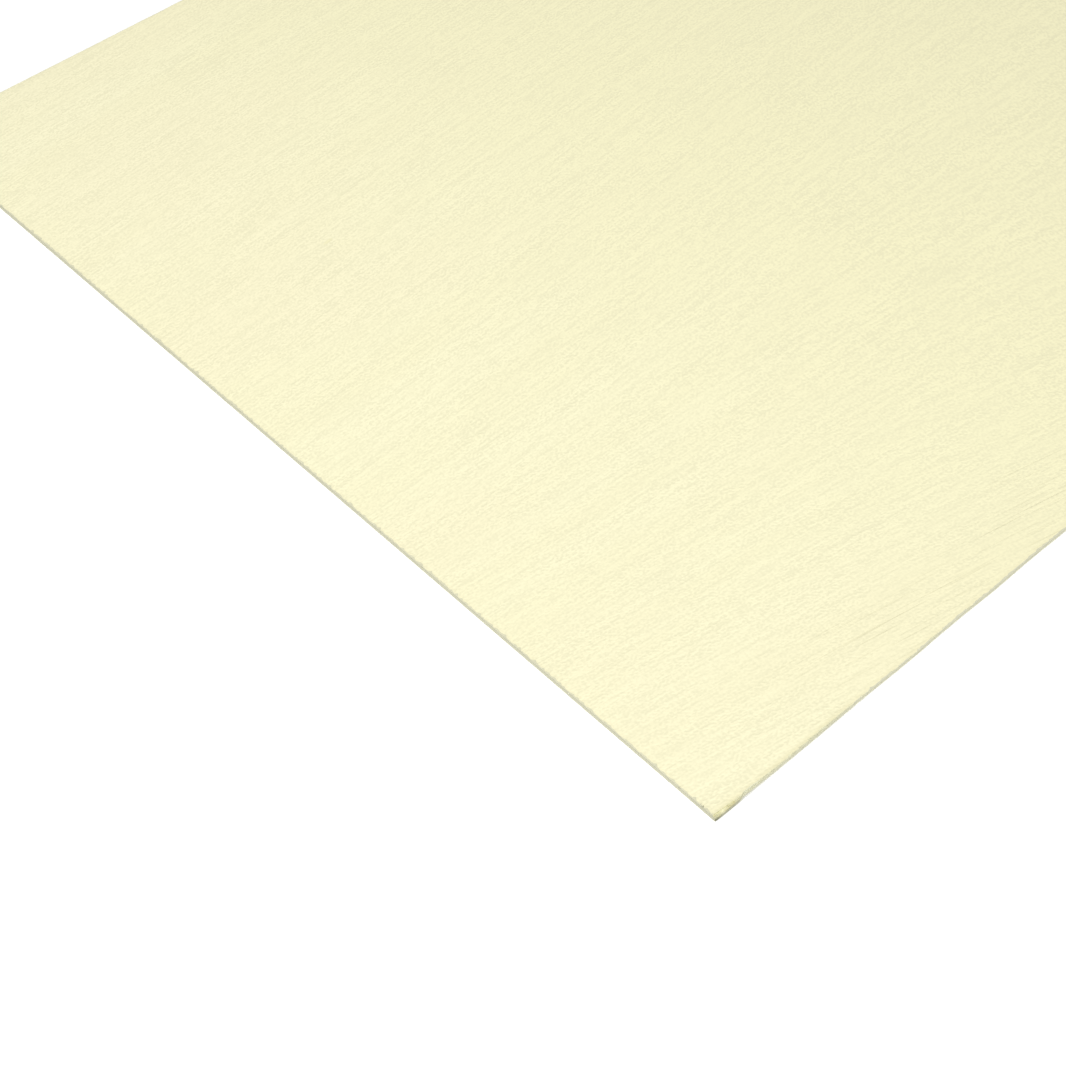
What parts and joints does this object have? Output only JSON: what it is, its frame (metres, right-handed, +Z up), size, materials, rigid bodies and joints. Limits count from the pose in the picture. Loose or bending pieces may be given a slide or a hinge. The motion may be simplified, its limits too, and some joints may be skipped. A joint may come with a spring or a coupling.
{
  "type": "plywood sheet",
  "caption": "Thin rectangular plywood sheet with pale, finely grained faces, sawn edges with lightly sanded arrises, and a splintered strip at one corner.",
  "frame": {"origin": "middle of the bottom face, on the surface that the sheet lies on", "axes": "+X along the length and the face grain, +Y along the width, +Z up through the thickness"},
  "size_m": [1.22, 0.61, 0.003],
  "materials": {
    "pale_veneer": "unfinished pale cream face veneer, sanded, with a fine straight grain along the sheet"
  },
  "bodies": {
    "root": {"plywood_sheet": "pale_veneer"}
  },
  "joints": []
}
